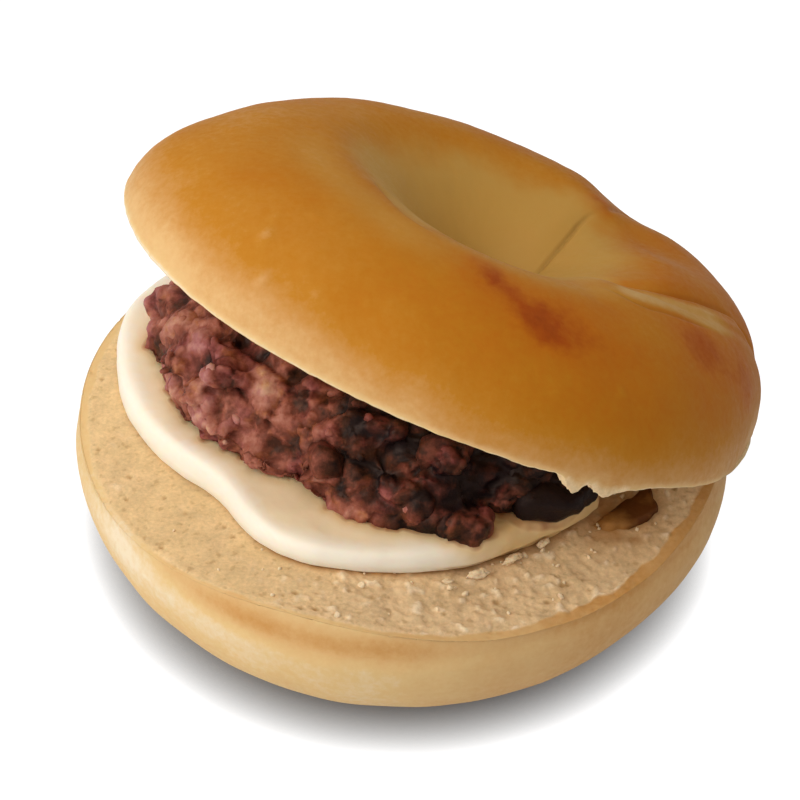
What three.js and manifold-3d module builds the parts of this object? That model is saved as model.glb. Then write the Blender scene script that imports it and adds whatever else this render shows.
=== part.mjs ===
// A bagel sandwich: a plain ring bagel cut through its middle, spread with a thick
// layer of cream and a heap of sweet bean paste, its upper half laid on top at a slant.
// Millimetres, +Z up, the front towards -Y.
import * as THREE from 'three';
import { mergeVertices } from 'three/addons/utils/BufferGeometryUtils.js';
import Module from 'manifold-3d';

const { clamp, degToRad, euclideanModulo, lerp, radToDeg, seededRandom, smoothstep } = THREE.MathUtils;
const wasm = await Module();
wasm.setup();

// The bagel. Waves are [order, cosine part, sine part] round the hole, in millimetres.
const BAGEL_RADIUS = 50;
const HOLE_RADIUS = 5.6;
const RING_STEPS = 64;
const FIT_GAP = 0.4; // left between neighbours that rest on each other
const LID_REST_GAP = 0.65; // left where the lid's uneven edge presses on the base

const BASE = {
  footHole: 13, // radius where the hole's flare meets the flat underside
  footRadius: 33.1, // radius where the flat underside ends
  girthHeight: 16.5, // height of the widest place
  draw: 0.0186, // how fast the crust draws in above the girth, per millimetre
  cutHeight: 22.5,
  crustSteps: 8,
  faceShares: [0.975, 0.92, 0.85, 0.77, 0.66, 0.5, 0.3], // rings on the cut face, of its radius
  holeFlare: [[0, 11], [1, 6], [3.6, 2]], // wider than the hole by, at a height
};
const BASE_OUTLINE = [[2, 0.3, 0], [3, 0.21, 0.3], [4, 0.34, -0.03]];
const BASE_CUT = [[1, -0.01, -0.31], [2, -0.25, 0.05], [3, 0.81, 0.29], [4, 0.91, -0.71]];
// Raised torn crumb at the front: [degrees] either side of an angle, [radius] inwards of the rim.
const TORN = { angle: 292, reach: [19, 48], rings: [34, 39], depth: 0.7, lump: 5 };

const LID = {
  height: 18, // from the cut face to the top of the ring
  girthHeight: 0.9,
  dimpleRadius: 2.7, // where the dimple's slope would meet the girth
  outerSquareness: 1.85, // superellipse powers of the crust, outside and in the dimple
  innerSquareness: 1.44,
  curl: 0.06, // how fast the crust turns under below the girth
  tilt: 25.35,
  tiltAxis: 128.46, // direction of the level axis that it tilts about
  centre: [7.1, 2.83, 41.55], // middle of its cut face
  crustSteps: 18,
  faceRings: [12, 20, 28, 35, 41, 45.5],
  holeLip: 1.6, // height where the hole's wall starts to round over
};
const LID_OUTLINE = [[2, 0.73, 1.45], [3, -0.77, -0.33], [4, 0.47, 0.64]];
const LID_EDGE = [[2, -0.6, 0.65], [3, -1.21, 0.56], [4, -0.31, -0.27]];
const EDGE_REACH = 12; // height above the cut face where its waves have died out

// Where the ends of the dough rope overlap, two creases run out from the hole.
const CREASES = [
  { depth: 1.1, width: 1.5, path: [[9.5, 1], [11.8, 5.5], [14.5, 11.2], [20, 16], [29, 22], [40, 30]] },
  { depth: 1.6, width: 2.3, path: [[14.5, -11.5], [20, -13.4], [27, -11], [34, -6.2], [40, -1.5], [52, 4.5]] },
];
const CREASE_STEPS = 40;
const CREASE_FADE = [0.5, 3]; // height above the cut face where they fade in
// Hollows of the crust, each with its degrees across and its radius along: where they start, reach
// their full depth, start to end and end.
const HOLLOWS = [
  { across: [2, 27, 32, 39], along: [14, 27, 28, 34], sink: 2 }, // between the creases
  { across: [36, 43, 50, 68], along: [24, 31, 60, 61], sink: 1.4 }, // where the rope thins out
];

// The cream and the bean paste: [degrees, radius] round the middle of the base.
const CREAM_EDGE = [
  [0, 33], [38, 32], [75, 36], [110, 42], [135, 46], [157, 47.9], [173, 45.2], [191, 41.4], [206, 37.6],
  [221, 34.8], [238, 37.8], [250, 38.6], [272, 36.8], [294, 35.9], [306, 35.2], [324, 36.4], [340, 34.5],
];
const CREAM = {
  thickness: 4.8,
  lip: 0.5, // how much the edge stands above the middle
  lipFade: [2, 9], // how far in from the edge
  ripple: 0.35,
  rippleSize: 11,
  side: [[0.1, 0.14], [0, 0.36], [0.3, 0.66], [0.9, 0.88]], // inset, share of the thickness
  topInsets: [1.7, 4, 8, 15],
  footInsets: [5, 0.7],
};
const PASTE_EDGE = [
  [0, 30], [38, 26], [75, 31], [110, 37], [140, 41], [165, 41.3], [178, 39], [190, 36.5], [202, 34.5],
  [212, 30.5], [230, 28], [250, 30.2], [266, 29.8], [277, 29.6], [288, 33], [298, 31], [308, 35.2],
  [320, 36.8], [332, 35], [345, 31],
];
const PASTE_HEIGHT = [
  [0, 10], [60, 11], [110, 15], [155, 17], [185, 14.5], [240, 12.5], [280, 12], [320, 10.5],
];
const PASTE = {
  middle: 15, // height in the middle, above the cream
  steep: 3.4, // powers that shape the side of the heap
  shoulder: 0.5,
  lump: 1.5,
  lumpSize: 7,
  underLid: 1, // left below the lid before the lumps are added
  overhang: 1.5, // how far beans may lean out over the cream's lip
  depth: 2, // how far it is let into the cream before it is cut off level
  shares: [1, 0.985, 0.94, 0.86, 0.74, 0.56, 0.3],
  steps: 40,
};
const BEAN = {
  size: [8, 5.6, 5],
  grow: [0.85, 1.12],
  lean: 0.5, // radians
  shares: [0.45, 1], // where they lie between the middle and the foot
  spacing: 5.5,
  sunk: 0.8,
  lowest: 1.5, // middle of a bean above the cream
  tries: 260,
  seed: 20,
};

// A scrap of bean skin on the crumb at the right.
const SCRAP = { place: [34.3, -20.4], size: [11.5, 4.6, 2.2], turn: 52, bend: 0.09, edge: 0.15 };

// Height of a wave table at an angle.
function waves(table, angle) {
  let sum = 0;
  for (const [order, cosine, sine] of table) {
    sum += cosine * Math.cos(order * angle) + sine * Math.sin(order * angle);
  }
  return sum;
}

// Value at an angle on a smooth closed line through [degrees, value] pairs.
function roundValue(table, angle) {
  const degrees = euclideanModulo(radToDeg(angle), 360);
  const i = table.findLastIndex(([start]) => start <= degrees);
  const at = (k) => table[euclideanModulo(k, table.length)];
  const span = euclideanModulo(at(i + 1)[0] - at(i)[0], 360);
  const t = (degrees - at(i)[0]) / span;
  const [a, b, c, d] = [at(i - 1)[1], at(i)[1], at(i + 1)[1], at(i + 2)[1]];
  return b + 0.5 * t * (c - a + t * (2 * a - 5 * b + 4 * c - d + t * (3 * (b - c) + d - a)));
}

// Smooth uneven relief from -1 to 1, the same each time, with lumps of a given size.
const CELL_SEEDS = [7919, 104729, 1299709];
const CELL_START = 64;
function relief(x, y, z, size) {
  const cell = [x, y, z].map((v) => Math.floor(v / size));
  const part = [x, y, z].map((v, k) => smoothstep(v / size - cell[k], 0, 1));
  let sum = 0;
  for (let corner = 0; corner < 8; corner++) {
    const step = [corner & 1, (corner >> 1) & 1, corner >> 2];
    let weight = 1;
    let seed = 0;
    step.forEach((s, axis) => {
      weight *= s ? part[axis] : 1 - part[axis];
      seed += (cell[axis] + s + CELL_START) * CELL_SEEDS[axis];
    });
    sum += weight * (2 * seededRandom(seed) - 1);
  }
  return sum;
}

// A closed ring or disc: a turned outline whose points may change with the angle.
// The outline goes out along the underside, up the outside and in over the top.
function turned(outlineAt, steps) {
  const outline = outlineAt(0);
  const geometry = new THREE.LatheGeometry(outline, steps);
  const position = geometry.attributes.position;
  for (let i = 0; i <= steps; i++) {
    const angle = ((i % steps) / steps) * 2 * Math.PI;
    outlineAt(angle).forEach((point, j) => {
      const place = i * outline.length + j;
      position.setXYZ(place, ...polar(point.x, angle), point.y);
    });
  }
  return welded(geometry);
}

// Joins the vertices that share a place, so that the surface is closed.
const WELD = 1e-4;
function welded(geometry) {
  geometry.deleteAttribute('normal');
  geometry.deleteAttribute('uv');
  return mergeVertices(geometry, WELD);
}

function solidOf(geometry) {
  const vertProperties = Float32Array.from(geometry.attributes.position.array);
  const triVerts = Uint32Array.from(geometry.index.array);
  return new wasm.Manifold(new wasm.Mesh({ numProp: 3, vertProperties, triVerts }));
}

function geometryOf(solid) {
  const mesh = solid.getMesh();
  const geometry = new THREE.BufferGeometry();
  geometry.setAttribute('position', new THREE.BufferAttribute(mesh.vertProperties, 3));
  geometry.setIndex(new THREE.BufferAttribute(mesh.triVerts, 1));
  return geometry;
}

function named(name, geometry, color, roughness) {
  const mesh = new THREE.Mesh(geometry, new THREE.MeshStandardMaterial({ color, roughness, metalness: 0 }));
  mesh.name = name;
  mesh.geometry.computeVertexNormals();
  return mesh;
}

// A ball one millimetre across, stretched to a size.
function ellipsoid(size, around, rings) {
  return new THREE.SphereGeometry(0.5, around, rings).scale(...size);
}

const flat = (radius, height) => new THREE.Vector2(radius, height);
const polar = (radius, angle) => [radius * Math.cos(angle), radius * Math.sin(angle)];

// Share from 0 to 1 of the way through a range, eased at both ends.
const within = (value, [low, high]) => smoothstep(value, low, high);
const amid = (value, edges) => within(value, edges.slice(0, 2)) * (1 - within(value, edges.slice(2)));

const lidAxis = new THREE.Vector3(...polar(1, degToRad(LID.tiltAxis)), 0);
const lidTurn = new THREE.Quaternion().setFromAxisAngle(lidAxis, degToRad(LID.tilt));
const lidUp = new THREE.Vector3(0, 0, 1).applyQuaternion(lidTurn);
const lidHalf = (BAGEL_RADIUS - LID.dimpleRadius) / 2;
const lidRidge = (BAGEL_RADIUS + LID.dimpleRadius) / 2;

// Share of the way from the lid's ridge to its outer edge.
const outward = (radius) => clamp((radius - lidRidge) / lidHalf, 0, 1);

// Height of the lid's cut face above a place on the table.
function lidUnderside(x, y) {
  const [cx, cy, cz] = LID.centre;
  const plane = cz - (lidUp.x * (x - cx) + lidUp.y * (y - cy)) / lidUp.z;
  const own = new THREE.Vector3(x - cx, y - cy, plane - cz).applyQuaternion(lidTurn.clone().invert());
  return plane + (outward(Math.hypot(own.x, own.y)) * waves(LID_EDGE, Math.atan2(own.y, own.x))) / lidUp.z;
}

// Height of the base's cut face: level in the middle, uneven at the rim, torn at the front,
// and pressed down where the lid's edge rests on it.
function cutHeight(radius, angle) {
  const share = radius / BAGEL_RADIUS;
  const away = Math.abs(euclideanModulo(radToDeg(angle) - TORN.angle + 180, 360) - 180);
  const torn = TORN.depth * (1 - within(away, TORN.reach)) * within(radius, TORN.rings);
  const [x, y] = polar(radius, angle);
  const height = BASE.cutHeight + share * share * waves(BASE_CUT, angle) + torn * relief(x, y, 0, TORN.lump);
  return Math.min(height, lidUnderside(x, y) - LID_REST_GAP);
}

function baseOutline(angle) {
  const girth = BAGEL_RADIUS + waves(BASE_OUTLINE, angle);
  const points = [flat(BASE.footHole, 0), flat((BASE.footHole + BASE.footRadius) / 2, 0)];
  for (let step = 0; step <= BASE.crustSteps; step++) {
    const t = (step / BASE.crustSteps) * (Math.PI / 2);
    const radius = lerp(BASE.footRadius, girth, Math.sin(t));
    points.push(flat(radius, BASE.girthHeight * (1 - Math.cos(t))));
  }
  const rimHeight = cutHeight(girth, angle);
  for (const share of [0.5, 1]) {
    const rise = (rimHeight - BASE.girthHeight) * share;
    points.push(flat(girth - BASE.draw * rise * rise, BASE.girthHeight + rise));
  }
  const rim = points.at(-1).x;
  for (const share of BASE.faceShares) points.push(flat(rim * share, cutHeight(rim * share, angle)));
  points.push(flat(HOLE_RADIUS, BASE.cutHeight));
  for (const [wider, height] of BASE.holeFlare) points.push(flat(HOLE_RADIUS + wider, height));
  return points.concat(points[0].clone());
}

// The cream's top, from its edge to its middle, with a soft lip round it.
function creamTopOutline(angle) {
  const edge = roundValue(CREAM_EDGE, angle);
  const full = BASE.cutHeight + CREAM.thickness;
  const top = (inset) => {
    const wave = CREAM.ripple * relief(...polar(edge - inset, angle), 0, CREAM.rippleSize);
    return flat(edge - inset, full - CREAM.lip * within(inset, CREAM.lipFade) + wave);
  };
  return [...CREAM.topInsets, edge * 0.8].map(top).concat(flat(0, full - CREAM.lip));
}

// The cream lies on the cut face, its side rounded and a little overhanging.
function creamOutline(angle) {
  const edge = roundValue(CREAM_EDGE, angle);
  const floor = (radius) => flat(radius, cutHeight(radius, angle) + FIT_GAP);
  const points = [flat(0, BASE.cutHeight + FIT_GAP), floor(edge * 0.5)];
  for (const inset of CREAM.footInsets) points.push(floor(edge - inset));
  const foot = points.at(-1).y;
  const top = creamTopOutline(angle);
  for (const [inset, share] of CREAM.side) points.push(flat(edge - inset, lerp(foot, top[0].y, share)));
  return points.concat(top);
}

// The room that the paste may fill: above the cream, below the lid, inside the cream's edge.
function pasteRoom() {
  const outlineAt = (angle) => {
    const floor = creamTopOutline(angle).reverse().map((point) => flat(point.x, point.y + FIT_GAP));
    floor.push(flat(floor.at(-1).x + CREAM.topInsets[0] + PASTE.overhang, floor.at(-1).y));
    const roof = floor.toReversed().map(({ x }) => {
      return flat(x, lidUnderside(...polar(x, angle)) - FIT_GAP);
    });
    return floor.concat(roof);
  };
  return solidOf(turned(outlineAt, RING_STEPS));
}

// Height of the paste at a share of the way from its middle to its foot.
function pasteHeight(angle, share) {
  const crown = lerp(PASTE.middle, roundValue(PASTE_HEIGHT, angle), share * share);
  const full = crown * Math.pow(Math.max(1 - Math.pow(share, PASTE.steep), 0), PASTE.shoulder);
  return BASE.cutHeight + CREAM.thickness + full;
}

// A point on the heap's lumpy surface: lumps push out at its side and up on its top.
function pastePoint(angle, share) {
  const radius = roundValue(PASTE_EDGE, angle) * share;
  const [x, y] = polar(radius, angle);
  const height = Math.min(pasteHeight(angle, share), lidUnderside(x, y) - PASTE.underLid);
  const lump = PASTE.lump * relief(x, y, height, PASTE.lumpSize);
  return flat(radius + lump * share * share, height + lump * (1 - share * share));
}

function pasteCore() {
  const under = BASE.cutHeight + CREAM.thickness - PASTE.depth;
  const outlineAt = (angle) => {
    const foot = pastePoint(angle, 1).x;
    const points = [flat(0, under), flat(foot * 0.5, under), flat(foot * 0.97, under)];
    for (const share of PASTE.shares) points.push(pastePoint(angle, share));
    return points.concat(flat(0, pastePoint(0, 0).y));
  };
  return solidOf(turned(outlineAt, PASTE.steps));
}

// Whole beans, spread over the sides of the heap and half sunk in it.
function beans() {
  seededRandom(BEAN.seed);
  const draw = (low, high) => lerp(low, high, seededRandom());
  const draws = Array.from({ length: BEAN.tries }, () => ({
    angle: draw(0, 2 * Math.PI),
    share: draw(...BEAN.shares),
    turn: new THREE.Euler(draw(-BEAN.lean, BEAN.lean), draw(-BEAN.lean, BEAN.lean), draw(0, Math.PI)),
    grow: draw(...BEAN.grow),
  }));
  const solids = [];
  const centres = [];
  for (const { angle, share, turn, grow } of draws) {
    const point = pastePoint(angle, share);
    const radius = point.x - BEAN.sunk * share;
    const height = Math.max(point.y - BEAN.sunk, BASE.cutHeight + CREAM.thickness + BEAN.lowest);
    const centre = new THREE.Vector3(...polar(radius, angle), height);
    if (centres.some((other) => other.distanceTo(centre) < BEAN.spacing)) continue;
    centres.push(centre);
    const bean = ellipsoid(BEAN.size.map((length) => length * grow), 6, 4);
    bean.applyMatrix4(new THREE.Matrix4().makeRotationFromEuler(turn).setPosition(centre));
    solids.push(solidOf(welded(bean)));
  }
  return solids;
}

function beanPaste() {
  return geometryOf(wasm.Manifold.union([pasteCore(), ...beans()]).intersect(pasteRoom()));
}

// A low bent scrap, thickest along its middle, lying on the crumb.
function scrap() {
  const geometry = ellipsoid(SCRAP.size, 12, 6);
  const position = geometry.attributes.position;
  const [cx, cy] = SCRAP.place;
  const turn = degToRad(SCRAP.turn);
  for (let i = 0; i < position.count; i++) {
    const along = position.getX(i);
    const aside = position.getY(i) + SCRAP.bend * along * along;
    const x = cx + along * Math.cos(turn) - aside * Math.sin(turn);
    const y = cy + along * Math.sin(turn) + aside * Math.cos(turn);
    const ground = cutHeight(Math.hypot(x, y), Math.atan2(y, x)) + FIT_GAP;
    const raised = position.getZ(i) > 0 ? position.getZ(i) + SCRAP.edge : 0;
    position.setXYZ(i, x, y, ground + raised);
  }
  return welded(geometry);
}

// The lid in its own frame, its cut face level at height 0 and facing down.
function lidOutline(angle) {
  const crown = LID.height - LID.girthHeight;
  const shaped = (radius, height) => {
    const outer = outward(radius);
    const edge = clamp(1 - height / EDGE_REACH, 0, 1) * outer;
    return flat(radius + outer * waves(LID_OUTLINE, angle), height + edge * waves(LID_EDGE, angle));
  };
  const rim = BAGEL_RADIUS - LID.curl * LID.girthHeight * LID.girthHeight;
  const points = [HOLE_RADIUS, ...LID.faceRings, rim].map((radius) => shaped(radius, 0));
  const wallAngle = Math.acos(-Math.pow((lidRidge - HOLE_RADIUS) / lidHalf, LID.innerSquareness / 2));
  for (let step = 0; step <= LID.crustSteps; step++) {
    const t = (step / LID.crustSteps) * wallAngle;
    const power = 2 / (t < Math.PI / 2 ? LID.outerSquareness : LID.innerSquareness);
    const radius = lidRidge + lidHalf * Math.sign(Math.cos(t)) * Math.pow(Math.abs(Math.cos(t)), power);
    points.push(shaped(radius, LID.girthHeight + crown * Math.pow(Math.sin(t), power)));
  }
  return points.concat(flat(HOLE_RADIUS, LID.holeLip), points[0].clone());
}

// Presses the two creases and the hollows beside them into the lid's crust.
function creased(geometry) {
  const lines = CREASES.map(({ path }) => {
    return new THREE.SplineCurve(path.map(([x, y]) => new THREE.Vector2(x, y))).getPoints(CREASE_STEPS);
  });
  geometry.computeVertexNormals();
  const position = geometry.attributes.position;
  const normal = geometry.attributes.normal;
  for (let i = 0; i < position.count; i++) {
    const here = new THREE.Vector2(position.getX(i), position.getY(i));
    const crust = within(position.getZ(i), CREASE_FADE);
    const near = lines.map((line) => Math.min(...line.map((point) => point.distanceTo(here))));
    let sink = 0;
    CREASES.forEach(({ depth, width }, k) => {
      sink += depth * Math.exp(-Math.pow(near[k] / width, 2));
    });
    const angle = radToDeg(here.angle());
    for (const hollow of HOLLOWS) {
      sink += hollow.sink * amid(angle, hollow.across) * amid(here.length(), hollow.along);
    }
    const move = -sink * crust;
    position.setX(i, position.getX(i) + normal.getX(i) * move);
    position.setY(i, position.getY(i) + normal.getY(i) * move);
    position.setZ(i, position.getZ(i) + normal.getZ(i) * move);
  }
  return geometry;
}

const lid = named('bagel_lid', creased(turned(lidOutline, RING_STEPS)), '#b06a24', 0.5);
lid.quaternion.copy(lidTurn);
lid.position.set(...LID.centre);

const sandwich = new THREE.Group();
sandwich.add(named('bagel_base', turned(baseOutline, RING_STEPS), '#dfb67f', 0.6));
sandwich.add(named('cream_layer', turned(creamOutline, RING_STEPS), '#f3e6d0', 0.45));
sandwich.add(named('bean_paste', beanPaste(), '#5e3128', 0.4));
sandwich.add(named('bean_scrap', scrap(), '#47220a', 0.5));
sandwich.add(lid);

// The origin is on the table, under the middle of the whole sandwich.
sandwich.updateMatrixWorld(true);
const box = new THREE.Box3().setFromObject(sandwich, true);
const middle = box.getCenter(new THREE.Vector3());
sandwich.position.set(-middle.x, -middle.y, -box.min.z);

export default sandwich;
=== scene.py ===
# %% [markdown]
# # A bagel sandwich, modelled on its CAD frame
#
# The sandwich is a plain ring bagel cut through its middle, spread with cream, heaped with
# sweet bean paste and closed with its upper half at a slant. The CAD model fixes every size and
# place. Here each of its solids is copied, given a finer mesh, and worked like clay until it
# looks like food: crust with creases and blisters, crumb with pores, cream with a soft lip, and
# a moist heap of beans.

# %% Load the frame
import math
import random

import bpy
import numpy as np
from mathutils import Euler, Matrix, Quaternion, Vector, noise
from mathutils.bvhtree import BVHTree


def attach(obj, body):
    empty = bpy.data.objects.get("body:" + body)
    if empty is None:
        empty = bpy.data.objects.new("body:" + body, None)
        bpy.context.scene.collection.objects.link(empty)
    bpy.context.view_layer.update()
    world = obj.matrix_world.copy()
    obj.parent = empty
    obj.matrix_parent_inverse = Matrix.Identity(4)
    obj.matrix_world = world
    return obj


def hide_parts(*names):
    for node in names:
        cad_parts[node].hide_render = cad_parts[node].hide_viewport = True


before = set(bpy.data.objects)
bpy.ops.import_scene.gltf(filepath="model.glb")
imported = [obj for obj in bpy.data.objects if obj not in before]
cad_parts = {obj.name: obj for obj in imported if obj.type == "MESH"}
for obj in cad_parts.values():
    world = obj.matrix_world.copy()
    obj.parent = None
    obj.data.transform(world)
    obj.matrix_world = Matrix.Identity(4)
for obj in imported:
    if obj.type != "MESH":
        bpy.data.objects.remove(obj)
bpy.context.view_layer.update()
MM = 0.001

# %% [markdown]
# ## Camera and light
#
# The camera stands where the photograph was taken: close above the front, looking down at
# about forty degrees and turned a little on its own axis. A large soft lamp stands low to the
# left and in front, as a window would. Three weaker ones, behind, overhead and in front, stand
# for the light that comes back from a white room, and the surroundings fill in the shadows.

# %% Camera
CAMERA_PLACE = Vector((-2.15, -290.25, 275.06))
CAMERA_AIM = Vector((-2.61, 1.76, 22.67))
CAMERA_ROLL = math.radians(3.22)
CAMERA_LENS = 112.3


def aimed(obj, place, aim, roll=0.0):
    """Puts a camera or lamp at a place in millimetres and points it at another."""
    turn = (aim - place).to_track_quat("-Z", "Y") @ Quaternion((0, 0, 1), roll)
    obj.rotation_mode = "QUATERNION"
    obj.rotation_quaternion = turn
    obj.location = place * MM


bpy.ops.object.camera_add()
camera = bpy.context.object
camera.data.lens = CAMERA_LENS
camera.data.clip_start = 0.01
aimed(camera, CAMERA_PLACE, CAMERA_AIM, CAMERA_ROLL)
bpy.context.scene.camera = camera
print("camera", camera.data.lens, "mm,", round((CAMERA_AIM - CAMERA_PLACE).length), "mm away")

# %% Lamps and surroundings
bpy.context.scene.view_settings.view_transform = "Standard"
LIT_PLACE = Vector((0, 0, 25))
LAMP_AWAY = 420
ROOM_LIGHT = 0.38


def soft_lamp(name, azimuth, rise, size, power, colour):
    """A rectangular lamp that points at the sandwich, from a direction in degrees."""
    a, e = math.radians(azimuth), math.radians(rise)
    way = Vector((math.cos(a) * math.cos(e), math.sin(a) * math.cos(e), math.sin(e)))
    bpy.ops.object.light_add(type="AREA")
    lamp = bpy.context.object
    lamp.name = name
    lamp.visible_camera = False
    lamp.data.shape = "RECTANGLE"
    lamp.data.size = size[0] * MM
    lamp.data.size_y = size[1] * MM
    lamp.data.energy = power
    lamp.data.color = colour
    aimed(lamp, LIT_PLACE + way * LAMP_AWAY, LIT_PLACE)


soft_lamp("window", 210, 31, (280, 340), 1.04, (1.0, 0.99, 0.97))
soft_lamp("wall", 120, 58, (260, 260), 0.3, (1.0, 0.99, 0.98))
soft_lamp("ceiling", 200, 84, (260, 260), 0.14, (1.0, 0.99, 0.98))
soft_lamp("front_wall", 272, 57, (260, 260), 0.3, (1.0, 0.99, 0.98))

world = bpy.data.worlds.new("white_room")
bpy.context.scene.world = world
world.use_nodes = True
world.node_tree.nodes["Background"].inputs["Color"].default_value = (1, 1, 1, 1)
world.node_tree.nodes["Background"].inputs["Strength"].default_value = ROOM_LIGHT

# %% [markdown]
# ## Helpers
#
# Blender's operators work on what is selected, so `pick` always empties the selection first.
# A mesh can also be read into an array, moved by a rule and written back, which is how a
# sculptor's stroke is written down in code. All arrays here are in millimetres.


# %% Selecting and reading
def pick(*pieces):
    """Selects these pieces alone, the first one active."""
    bpy.ops.object.select_all(action="DESELECT")
    for piece in pieces:
        piece.select_set(True)
    bpy.context.view_layer.objects.active = pieces[0]


def divide_faces(piece, wanted, cuts=1):
    """Divides only the wanted faces, for a finer net where it is needed."""
    pick(piece)
    mesh = piece.data
    mesh.vertices.foreach_set("select", np.zeros(len(mesh.vertices), bool))
    mesh.edges.foreach_set("select", np.zeros(len(mesh.edges), bool))
    mesh.polygons.foreach_set("select", wanted)
    bpy.context.tool_settings.mesh_select_mode = (False, False, True)
    bpy.ops.object.mode_set(mode="EDIT")
    bpy.ops.mesh.subdivide(number_cuts=cuts)
    bpy.ops.object.mode_set(mode="OBJECT")


def read(collection, field, width=3):
    """One field of every vertex or face as an array."""
    values = np.empty(len(collection) * width, np.float32)
    collection.foreach_get(field, values)
    return values.reshape(-1, width).astype(float)


def points_of(piece):
    return read(piece.data.vertices, "co") / MM


def normals_of(piece):
    return read(piece.data.vertex_normals, "vector")


def middles_of(piece):
    return read(piece.data.polygons, "center") / MM


def move_to(piece, points):
    piece.data.vertices.foreach_set("co", (points * MM).astype(np.float32).ravel())
    piece.data.update()


def paint(piece, name, values):
    """Keeps one number for each vertex, which a material can read."""
    layer = piece.data.attributes.new(name, "FLOAT", "POINT")
    layer.data.foreach_set("value", np.asarray(values, np.float32))


# %% Shaping rules
def between(value, low, high):
    """0 below low, 1 above high, eased in between. Low may be the larger."""
    t = np.clip((value - low) / (high - low), 0, 1)
    return t * t * (3 - 2 * t)


def ridge(value, middle, width):
    """1 at the middle, falling off on both sides."""
    return np.exp(-(((value - middle) / width) ** 2))


def mound(points, centre, size):
    """1 at a place, falling off all round it."""
    return ridge(np.linalg.norm(points - np.array(centre), axis=1), 0, size)


def turned_from(angle, middle):
    """Degrees between an angle and a direction, either way round."""
    return np.abs((angle - middle + 180) % 360 - 180)


def lumps(points, size, octaves=2, seed=0.0):
    """Smooth unevenness of about -1 to 1, with lumps of a size in millimetres."""
    shifted = points / size + seed
    return np.array([noise.fractal(Vector(p), 1.0, 2.0, octaves) for p in shifted])


SLICE = 3


def widest_by_slice(angle, radius):
    """The slice of three degrees that each point is in, and how far out each slice reaches."""
    slices = (angle / SLICE).astype(int)
    widest = np.zeros(360 // SLICE)
    np.maximum.at(widest, slices, radius)
    return slices, widest


CELL_MIX = Vector((12.9, 78.2, 37.7))


def chunks(points, size, seed=0.0):
    """Rounded chunks with cracks between them: the rise of each point, and a tone for each chunk."""
    rise = np.zeros(len(points))
    tone = np.zeros(len(points))
    for k, p in enumerate(points / size + seed):
        gaps, centres = noise.voronoi(Vector(p))
        rise[k] = gaps[1] - gaps[0]
        tone[k] = math.sin(centres[0].dot(CELL_MIX)) * 437.585 % 1
    return between(rise, 0, 0.5), tone * 2 - 1


def away_from(line, places):
    """Distance to a line of points, the side as a sign, and how far along it is."""
    best = np.full(len(places), 1e9)
    side = np.ones(len(places))
    along = np.zeros(len(places))
    start = 0.0
    for a, b in zip(line[:-1], line[1:]):
        a, b = np.array(a, float), np.array(b, float)
        step = b - a
        length = np.linalg.norm(step)
        t = np.clip((places - a) @ step / length**2, 0, 1)
        gap = places - a - t[:, None] * step
        distance = np.hypot(gap[:, 0], gap[:, 1])
        closer = distance < best
        best[closer] = distance[closer]
        turn = step[0] * gap[:, 1] - step[1] * gap[:, 0]
        side[closer] = np.sign(turn[closer] + 1e-12)
        along[closer] = start + t[closer] * length
        start += length
    return best * side, along


def spline(path, steps=12):
    """A smooth line through the points of a path."""
    points = [2 * Vector(path[0]) - Vector(path[1])] + [Vector(p) for p in path]
    points.append(2 * points[-1] - points[-2])
    line = []
    for a, b, c, d in zip(points, points[1:], points[2:], points[3:]):
        for k in range(steps):
            t = k / steps
            bend = 2 * a - 5 * b + 4 * c - d + t * (3 * (b - c) + d - a)
            line.append(b + 0.5 * t * (c - a + t * bend))
    line.append(points[-2])
    return [tuple(p) for p in line]


# %% Working copies of the CAD solids
def finish_piece(piece):
    """Every piece rides on the sandwich's one body."""
    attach(piece, "root")


def copy_of(node, name, sharp=None):
    """A merged copy of a CAD solid, in quads, that stands for it in the scene."""
    piece = bpy.data.objects.new(name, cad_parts[node].data.copy())
    bpy.context.scene.collection.objects.link(piece)
    piece.data.materials.clear()
    pick(piece)
    bpy.ops.mesh.customdata_custom_splitnormals_clear()
    bpy.ops.object.mode_set(mode="EDIT")
    bpy.ops.mesh.select_all(action="SELECT")
    bpy.ops.mesh.remove_doubles(threshold=0.005 * MM)
    bpy.ops.mesh.tris_convert_to_quads(face_threshold=math.pi, shape_threshold=math.pi)
    if sharp:
        bpy.ops.mesh.select_all(action="DESELECT")
        bpy.ops.mesh.select_mode(type="EDGE")
        bpy.ops.mesh.edges_select_sharp(sharpness=math.radians(sharp))
        bpy.ops.transform.edge_crease(value=0.75)
    bpy.ops.object.mode_set(mode="OBJECT")
    bpy.ops.object.shade_smooth()
    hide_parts(node)
    finish_piece(piece)
    return piece


def apply_modifier(piece, kind, **settings):
    pick(piece)
    modifier = piece.modifiers.new(kind.lower(), kind)
    for key, value in settings.items():
        setattr(modifier, key, value)
    bpy.ops.object.modifier_apply(modifier=modifier.name)


def join(pieces, name):
    pick(*pieces)
    bpy.ops.object.join()
    bpy.context.object.name = name
    return bpy.context.object


def say(piece):
    triangles = sum(len(face.vertices) - 2 for face in piece.data.polygons)
    print(f"{piece.name}: {triangles} triangles")


# %% [markdown]
# ## The lid's crust
#
# The upper half is a ring of baked dough. Its crust is smooth and leathery, with two creases
# where the ends of the dough rope were pressed together, and small blisters from the steam.
# The CAD lid gives the ring and the broad hollows of the creases. Subdivision makes its net
# fine, faces near the creases are divided once more, and the sharp lines are then pressed in.
# At the front the cut tore: there the lower edge gets a finer net and hangs down in two tips.

# %% The lid's own directions
LID_MIDDLE = np.array([4.956, 2.236, 41.55])
LID_TILT = math.radians(25.35)
LID_AXIS = math.radians(128.46)
lid_turn = Matrix.Rotation(LID_TILT, 3, Vector((math.cos(LID_AXIS), math.sin(LID_AXIS), 0)))
LID_WAYS = np.array(lid_turn)


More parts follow.
